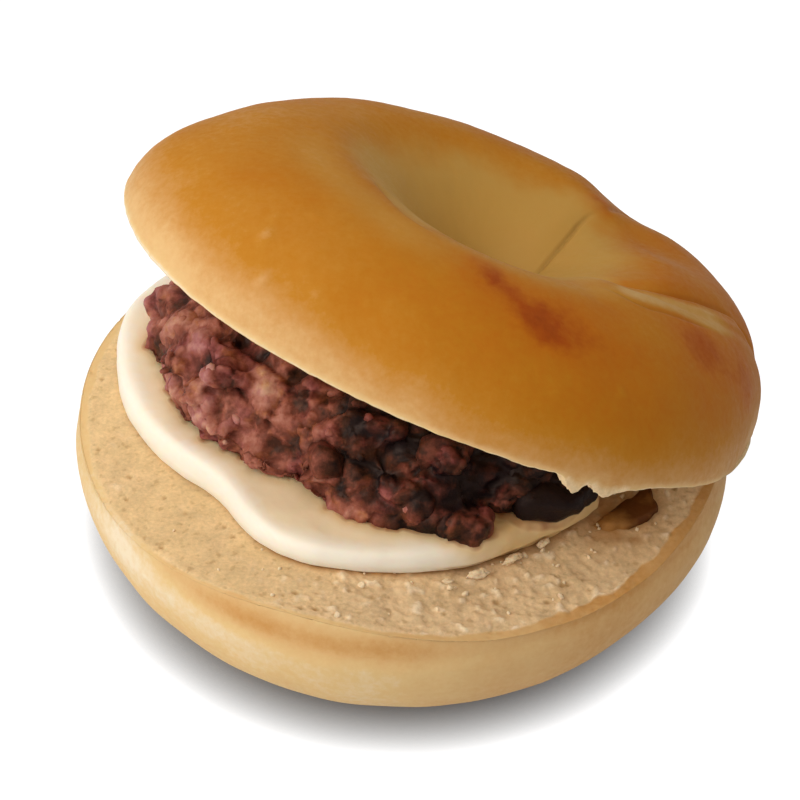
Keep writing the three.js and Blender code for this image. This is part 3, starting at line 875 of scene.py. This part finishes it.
# %% The scrap
scrap = copy_of("bean_scrap", "skin_scrap")
apply_modifier(scrap, "SUBSURF", levels=2, render_levels=2)
points = points_of(scrap)
ups = normals_of(scrap)
moved = points + ups * (0.35 * lumps(points, 2.2, 2, 3) + 0.16 * lumps(points, 0.9, 2, 4))[:, None]
moved[:, 2] -= 0.6 * between(points[:, 2], 23.4, 22.4)
far_end = between(points[:, 0] + points[:, 1], 7, 14)
moved[:, :2] += np.outer(far_end, (1.7, 0.8))
moved[:, 0] += 0.8 * lumps(points, 1.9, 2, 7)
moved[:, 1] += 0.8 * lumps(points, 1.9, 2, 8)
moved[:, 2] -= 0.7 * (1 - far_end) * between(points[:, 2], 22.6, 24.4)
move_to(scrap, moved)
paint(scrap, "dark", between(points[:, 0] + points[:, 1], 5.5, 10.5))
say(scrap)


# %% Crumbs and torn tufts
def tuft(name, size, seed, fineness=4):
    """A torn bit of bread: a ball, roughened until no roundness is left."""
    bpy.ops.mesh.primitive_ico_sphere_add(subdivisions=fineness, radius=0.5)
    piece = bpy.context.object
    piece.name = name
    points = points_of(piece) * MM
    rough = 1 + 0.5 * lumps(points, 0.45, 3, seed)
    move_to(piece, points * rough[:, None] * np.array(size))
    bpy.ops.object.shade_smooth()
    return piece


def put(piece, place, turn):
    """Turns a piece about its own axis and moves it to a place."""
    piece.data.transform(Matrix.Translation(Vector(place) * MM) @ Euler(turn).to_matrix().to_4x4())
    return piece


random.seed(31)
# Place, size and turn.
TUFTS = [
    ((10.1, -35.3, 22.6), (3.2, 1.4, 1.2), 0.5),
    ((14.9, -31.8, 22.6), (3.2, 1.2, 1.3), 0.7),
    ((19.5, -28.1, 22.6), (2.2, 1.0, 1.1), 0.8),
    ((5.5, -37.1, 22.4), (2.0, 1.0, 0.9), 0.2),
]
CRUMBS = 46
torn_bits = []
for k, (place, size, turn) in enumerate(TUFTS):
    torn_bits.append(put(tuft(f"tuft_{k}", size, k), place, (0, 0, turn)))
base_top = heap_of(base)
for k in range(CRUMBS):
    degrees = random.gauss(300, 34)
    ring = random.uniform(34.5, 47.5)
    x, y = ring_place(degrees, ring)
    above = Vector((HUB[0] + x, HUB[1] + y, 40)) * MM
    place, _, _, _ = base_top.ray_cast(above, Vector((0, 0, -1)))
    size = 0.35 + 0.6 * random.random() ** 3
    piece = tuft(f"crumb_{k}", (size * 1.3, size, size * 0.8), k * 1.7, 2)
    turn = (random.uniform(0, 3), random.uniform(0, 3), random.uniform(0, 6))
    torn_bits.append(put(piece, place / MM + Vector((0, 0, size * 0.2)), turn))
crumbs = join(torn_bits, "torn_tufts")
finish_piece(crumbs)
paint(crumbs, "torn", np.ones(len(crumbs.data.vertices)))
paint(crumbs, "flake", np.full(len(crumbs.data.vertices), 0.7))
say(crumbs)

# %% [markdown]
# ## Materials
#
# Each finish is built from nodes. `add` places a node, sets it and fills its inputs in one
# call, which keeps the recipes short. What two finishes share is a node group: bread skin for
# both crusts, and crumb for every torn or cut face.


# %% Node helpers
def fill(tree, node, inputs):
    """Sets a node's inputs to values, or links them to other nodes' outputs."""
    for key, value in dict(inputs).items():
        if isinstance(value, bpy.types.NodeSocket):
            tree.links.new(value, node.inputs[key])
        else:
            node.inputs[key].default_value = value


def add(tree, kind, inputs=(), **settings):
    """Adds a node with its settings and inputs."""
    node = tree.nodes.new(kind)
    for key, value in settings.items():
        setattr(node, key, value)
    fill(tree, node, inputs)
    return node


def maths(tree, operation, a, b=0.0, clamp=False):
    return add(tree, "ShaderNodeMath", {0: a, 1: b}, operation=operation, use_clamp=clamp).outputs[0]


def weighted(tree, *shares):
    """A sum of values, each times its share."""
    total = 0.0
    for value, share in shares:
        node = add(tree, "ShaderNodeMath", {0: value, 1: share, 2: total}, operation="MULTIPLY_ADD")
        total = node.outputs[0]
    return total


def mixed(tree, share, a, b, way="MIX"):
    """A blend of two colours."""
    node = add(tree, "ShaderNodeMix", {0: share, 6: a, 7: b}, data_type="RGBA", blend_type=way)
    return node.outputs[2]


def speckle(tree, place, per_mm, detail=3.0, roughness=0.5, distortion=0.0):
    """Fine noise from 0 to 1, with a number of lumps per millimetre."""
    inputs = {"Vector": place, "Scale": per_mm / MM, "Detail": detail, "Roughness": roughness}
    return add(tree, "ShaderNodeTexNoise", {**inputs, "Distortion": distortion}).outputs["Fac"]


def ranged(tree, value, low, high, out_low=0.0, out_high=1.0):
    inputs = {0: value, 1: low, 2: high, 3: out_low, 4: out_high}
    return add(tree, "ShaderNodeMapRange", inputs).outputs[0]


def stops(tree, value, colours):
    """A colour ramp through (place, colour) pairs."""
    ramp = add(tree, "ShaderNodeValToRGB", {0: value})
    while len(ramp.color_ramp.elements) < len(colours):
        ramp.color_ramp.elements.new(1.0)
    for element, (place, colour) in zip(ramp.color_ramp.elements, colours):
        element.position = place
        element.color = (*colour, 1)
    return ramp.outputs["Color"]


def painted(tree, name):
    return add(tree, "ShaderNodeAttribute", attribute_name=name).outputs["Fac"]


def new_group(name, inputs, outputs):
    """A node group with named sockets. Returns the tree, its inputs and its output node."""
    tree = bpy.data.node_groups.new(name, "ShaderNodeTree")
    tree.interface.new_socket("Vector", in_out="INPUT", socket_type="NodeSocketVector")
    for label, default in inputs:
        socket = tree.interface.new_socket(label, in_out="INPUT", socket_type="NodeSocketFloat")
        socket.default_value = default
    for label in outputs:
        kind = "NodeSocketColor" if label == "Color" else "NodeSocketFloat"
        tree.interface.new_socket(label, in_out="OUTPUT", socket_type=kind)
    return tree, add(tree, "NodeGroupInput").outputs, add(tree, "NodeGroupOutput")


def new_material(name, **constants):
    """A material with its Principled shader, whose constant sockets are set here."""
    material = bpy.data.materials.new(name)
    material.use_nodes = True
    tree = material.node_tree
    shader = tree.nodes["Principled BSDF"]
    fill(tree, shader, {key.replace("_", " "): value for key, value in constants.items()})
    place = add(tree, "ShaderNodeTexCoord").outputs["Object"]
    return material, tree, shader, place


def placed(tree, group, inputs):
    node = add(tree, "ShaderNodeGroup", node_tree=group)
    fill(tree, node, inputs)
    return node.outputs


def dress(material, *pieces):
    """Gives each piece this one material."""
    for piece in pieces:
        piece.data.materials.clear()
        piece.data.materials.append(material)


def bumped(tree, shader, height, strength, distance):
    """Relief of a height in millimetres that only the light sees."""
    bump = add(tree, "ShaderNodeBump", {"Height": height, "Strength": strength, "Distance": distance * MM})
    fill(tree, shader, {"Normal": bump.outputs["Normal"]})


# %% Bread skin
CRUST = [
    (0.00, (0.79, 0.65, 0.45)),
    (0.06, (0.75, 0.56, 0.32)),
    (0.12, (0.72, 0.49, 0.22)),
    (0.25, (0.665, 0.395, 0.16)),
    (0.38, (0.56, 0.272, 0.075)),
    (0.50, (0.49, 0.192, 0.014)),
    (0.58, (0.47, 0.165, 0.006)),
    (0.70, (0.46, 0.130, 0.003)),
    (0.85, (0.35, 0.062, 0.001)),
    (1.00, (0.22, 0.035, 0.002)),
]
STEAMED_AND_HIGHLIGHT = (0.505, 0.285, 0.062, 1)
skin_tree, skin_in, skin_out = new_group(
    "bread skin", [("Browning_And_Highlight", 0.5), ("Steamed_And_Highlight", 0.0)], ["Color", "Height", "Roughness"]
)
vector = skin_in["Vector"]
broad = speckle(skin_tree, vector, 0.12, 4, 0.55)
fine = speckle(skin_tree, vector, 0.9, 4, 0.65)
level = weighted(skin_tree, (skin_in["Browning_And_Highlight"], 1.0), (broad, 0.16), (fine, 0.16), (1.0, -0.16))
baked = stops(skin_tree, maths(skin_tree, "ADD", level, 0.0, clamp=True), CRUST)
colour = mixed(skin_tree, maths(skin_tree, "MULTIPLY", skin_in["Steamed_And_Highlight"], 0.85), baked, STEAMED_AND_HIGHLIGHT)
wrinkles = speckle(skin_tree, vector, 2.4, 4, 0.6, 0.6)
leather = add(skin_tree, "ShaderNodeTexVoronoi", {"Vector": vector, "Scale": 1.5 / MM}, feature="SMOOTH_F1")
relief = weighted(skin_tree, (wrinkles, 1.0), (leather.outputs["Distance"], 0.5))
gloss = ranged(skin_tree, fine, 0.3, 0.7, 0.46, 0.6)
fill(skin_tree, skin_out, {"Color": colour, "Height": relief, "Roughness": gloss})

# %% Crumb
SMOOTH_CUT = (0.74, 0.515, 0.26, 1)
TORN_CUT = (0.755, 0.53, 0.295, 1)
FLAKES = (0.90, 0.71, 0.47, 1)
IN_PORES = (0.42, 0.24, 0.09, 1)
crumb_tree, crumb_in, crumb_out = new_group(
    "bread crumb", [("Torn", 0.5), ("Hollow", 0.0), ("Flake", 0.0)], ["Color", "Height"]
)
vector = crumb_in["Vector"]
cloudy = speckle(crumb_tree, vector, 0.3, 4, 0.6)
grains = speckle(crumb_tree, vector, 1.8, 4, 0.65)
dots = ranged(crumb_tree, speckle(crumb_tree, vector, 0.75, 2, 0.5), 0.60, 0.72, 0, 0.45)
bread = mixed(crumb_tree, crumb_in["Torn"], SMOOTH_CUT, TORN_CUT)
bread = mixed(crumb_tree, dots, bread, IN_PORES)
bread = mixed(crumb_tree, crumb_in["Flake"], bread, FLAKES)
shade = ranged(crumb_tree, maths(crumb_tree, "ADD", cloudy, grains), 0.75, 1.25, 0.84, 1.12)
grey = add(crumb_tree, "ShaderNodeCombineColor", {0: shade, 1: shade, 2: shade}).outputs[0]
bread = mixed(crumb_tree, 1.0, bread, grey, "MULTIPLY")
# Painted shade: hollow mixes in the pore colour.
bread = mixed(crumb_tree, crumb_in["Hollow"], bread, IN_PORES)
cells = add(crumb_tree, "ShaderNodeTexVoronoi", {"Vector": vector, "Scale": 1.3 / MM}).outputs["Distance"]
texture = weighted(crumb_tree, (grains, 1.0), (cells, 0.6))
fill(crumb_tree, crumb_out, {"Color": bread, "Height": texture})

# %% Bread materials
LINE_SHADE = (0.20, 0.10, 0.02, 1)
CRUMB_STAIN_AND_SHADE = (0.40, 0.17, 0.035, 1)


def crumb_of(tree, place):
    """The crumb group fed by what is painted on a piece."""
    inputs = {label: painted(tree, label.lower()) for label in ("Torn", "Hollow", "Flake")}
    return placed(tree, crumb_tree, {"Vector": place, **inputs})


bread_material, tree, shader, place = new_material(
    "baked_bread", Specular_IOR_Level=0.11, Subsurface_Weight=0.07, Subsurface_Scale=0.002
)
baking = {label: painted(tree, label.lower()) for label in ("Browning_And_Highlight", "Steamed_And_Highlight")}
skin = placed(tree, skin_tree, {"Vector": place, **baking})
# Painted shade: the lid's creases are darkened towards LINE_SHADE by the line attribute.
crust = mixed(tree, maths(tree, "MULTIPLY", painted(tree, "line"), 0.65), skin["Color"], LINE_SHADE)
crumb = crumb_of(tree, place)
# The crumb is darkened by stains and by painted shade.
stained_and_shaded = mixed(tree, maths(tree, "MULTIPLY", painted(tree, "stain_and_shade"), 0.8), crumb["Color"], CRUMB_STAIN_AND_SHADE)
border = maths(tree, "ADD", painted(tree, "cut"), maths(tree, "MULTIPLY", crumb["Height"], 0.2))
cut = ranged(tree, border, 0.45, 0.8)
dullness = weighted(tree, (skin["Roughness"], 1.0), (cut, 0.3))
fill(tree, shader, {"Base Color": mixed(tree, cut, crust, stained_and_shaded), "Roughness": dullness})
heights = weighted(tree, (skin["Height"], 0.12), (maths(tree, "MULTIPLY", crumb["Height"], cut), 0.5))
bumped(tree, shader, heights, 0.3, 0.3)

crumb_material, tree, shader, place = new_material(
    "bread_crumb", Roughness=0.85, Specular_IOR_Level=0.15, Subsurface_Weight=0.1, Subsurface_Scale=0.002
)
crumb = crumb_of(tree, place)
fill(tree, shader, {"Base Color": crumb["Color"]})
bumped(tree, shader, crumb["Height"], 0.5, 0.3)

dress(bread_material, lid, base)
dress(crumb_material, crumbs)

# %% Cream
CREAM_DEPTH = 12
CREAM_COLOURS = [
    (0.00, (0.90, 0.83, 0.70)),
    (0.16, (0.92, 0.82, 0.66)),
    (0.32, (0.93, 0.76, 0.52)),
    (0.60, (0.94, 0.75, 0.49)),
    (1.00, (0.92, 0.70, 0.42)),
]
THIN_SHADED_CREAM = (0.70, 0.44, 0.14, 1)
YELLOWED_AND_SHADED = (0.78, 0.54, 0.26, 1)
SYRUP_AND_SHADE = (0.36, 0.10, 0.018, 1)
cream_material, tree, shader, place = new_material(
    "cream_cheese", Roughness=0.42, Specular_IOR_Level=0.35, Subsurface_Weight=0.2, Subsurface_Scale=0.003
)
# From the lip inward the cream is painted yellower and darker: partly a tint from the paste, partly painted
# shade.
colour = stops(tree, ranged(tree, painted(tree, "inward"), 0, CREAM_DEPTH), CREAM_COLOURS)
# The thin right end under the lid is painted darker and yellower: partly painted shade.
colour = mixed(tree, maths(tree, "MULTIPLY", painted(tree, "thin_and_shaded"), 0.85), colour, THIN_SHADED_CREAM)
# Yellowed and syrup-dark next to the heap: partly stain, partly painted shade.
colour = mixed(tree, ranged(tree, painted(tree, "stain_and_shade"), 0.05, 0.45, 0, 0.7), colour, YELLOWED_AND_SHADED)
colour = mixed(tree, ranged(tree, painted(tree, "stain_and_shade"), 0.55, 0.95, 0, 0.9), colour, SYRUP_AND_SHADE)
fill(tree, shader, {"Base Color": colour})
bumped(tree, shader, speckle(tree, place, 0.9, 3, 0.5), 0.15, 0.2)
dress(cream_material, cream)

# %% Paste, beans and scrap
MASH = [
    (0.00, (0.009, 0.004, 0.004)),
    (0.20, (0.056, 0.017, 0.009)),
    (0.40, (0.160, 0.042, 0.025)),
    (0.60, (0.320, 0.102, 0.066)),
    (0.80, (0.440, 0.185, 0.130)),
    (1.00, (0.560, 0.310, 0.200)),
]
MAUVE = (0.86, 0.74, 0.98, 1)
OCHRE = (1.0, 0.98, 0.60, 1)
paste_tree, paste_in, paste_out = new_group(
    "moist paste", [("Tone", 0.0), ("Cleft", 0.0)], ["Color", "Height", "Roughness"]
)
vector = paste_in["Vector"]
patches = speckle(paste_tree, vector, 0.28, 4, 0.6, 0.4)
bits_noise = speckle(paste_tree, vector, 1.2, 4, 0.6)
# The cleft share darkens the paste: painted shade in the cracks.
tone = weighted(
    paste_tree,
    (paste_in["Tone"], 0.24),
    (patches, 0.85),
    (bits_noise, 0.45),
    (paste_in["Cleft"], -0.34),
    (1.0, -0.085),
)
paste_colour = stops(paste_tree, maths(paste_tree, "ADD", tone, 0.0, clamp=True), MASH)
purple = ranged(paste_tree, speckle(paste_tree, vector, 0.17, 3, 0.5), 0.48, 0.62)
paste_colour = mixed(paste_tree, purple, paste_colour, MAUVE, "MULTIPLY")
ochre = ranged(paste_tree, speckle(paste_tree, vector, 0.36, 3, 0.6), 0.54, 0.66, 0, 0.8)
paste_colour = mixed(paste_tree, ochre, paste_colour, OCHRE, "MULTIPLY")
wet = ranged(paste_tree, patches, 0.35, 0.65, 0.36, 0.62)
fill(paste_tree, paste_out, {"Color": paste_colour, "Height": bits_noise, "Roughness": wet})

WARM_SHINE = (1.0, 0.72, 0.58, 1)
MOIST = {"Specular_IOR_Level": 0.2, "Subsurface_Weight": 0.08, "Subsurface_Scale": 0.0015}
paste_material, tree, shader, place = new_material("bean_paste", Specular_Tint=WARM_SHINE, **MOIST)
mashed = {label: painted(tree, label.lower()) for label in ("Tone", "Cleft")}
paste = placed(tree, paste_tree, {"Vector": place, **mashed})
fill(tree, shader, {"Base Color": paste["Color"], "Roughness": paste["Roughness"]})
bumped(tree, shader, paste["Height"], 0.5, 0.3)
dress(paste_material, mash, beans)

SCRAP_DARK = (0.105, 0.030, 0.003, 1)
SCRAP_PALE = (0.42, 0.19, 0.045, 1)
scrap_material, tree, shader, place = new_material("brown_skin", Specular_IOR_Level=0.2, Roughness=0.6)
share = weighted(tree, (painted(tree, "dark"), 0.9), (speckle(tree, place, 0.5, 3), 1.1), (1.0, -0.45))
colour = mixed(tree, maths(tree, "ADD", share, 0.0, clamp=True), SCRAP_PALE, SCRAP_DARK)
fill(tree, shader, {"Base Color": colour})
bumped(tree, shader, speckle(tree, place, 1.5, 3), 0.3, 0.2)
dress(scrap_material, scrap)

# %% [markdown]
# ## Table
#
# A plain white table, far wider than the view. The camera sees it evenly white, as on a lit
# studio sweep, with a painted shadow that darkens it only where the sandwich stands close to it.

# %% Table
TABLE_WIDTH = 3
SHADOW_REACH = 7 * MM
bpy.ops.mesh.primitive_plane_add(size=TABLE_WIDTH)
table = bpy.context.object
table.name = "table"
material, tree, shader, place = new_material("white_table", Roughness=0.9, Specular_IOR_Level=0.0)
fill(tree, shader, {"Base Color": (0.9, 0.9, 0.9, 1)})
# Painted shadow: the table's glow is dimmed by ambient occlusion near the sandwich.
near_food = add(tree, "ShaderNodeAmbientOcclusion", {"Distance": SHADOW_REACH}, samples=16).outputs["AO"]
glow = maths(tree, "MULTIPLY", maths(tree, "POWER", near_food, 1.5), 0.98)
sweep = add(tree, "ShaderNodeEmission", {"Color": (1, 1, 1, 1), "Strength": glow})
faint = add(tree, "ShaderNodeBsdfDiffuse", {"Color": (0.14, 0.14, 0.14, 1)})
seen = add(tree, "ShaderNodeAddShader", {0: sweep.outputs[0], 1: faint.outputs[0]})
by_camera = add(tree, "ShaderNodeLightPath").outputs["Is Camera Ray"]
either = add(tree, "ShaderNodeMixShader", {0: by_camera, 1: shader.outputs[0], 2: seen.outputs[0]})
fill(tree, tree.nodes["Material Output"], {"Surface": either.outputs[0]})
dress(material, table)
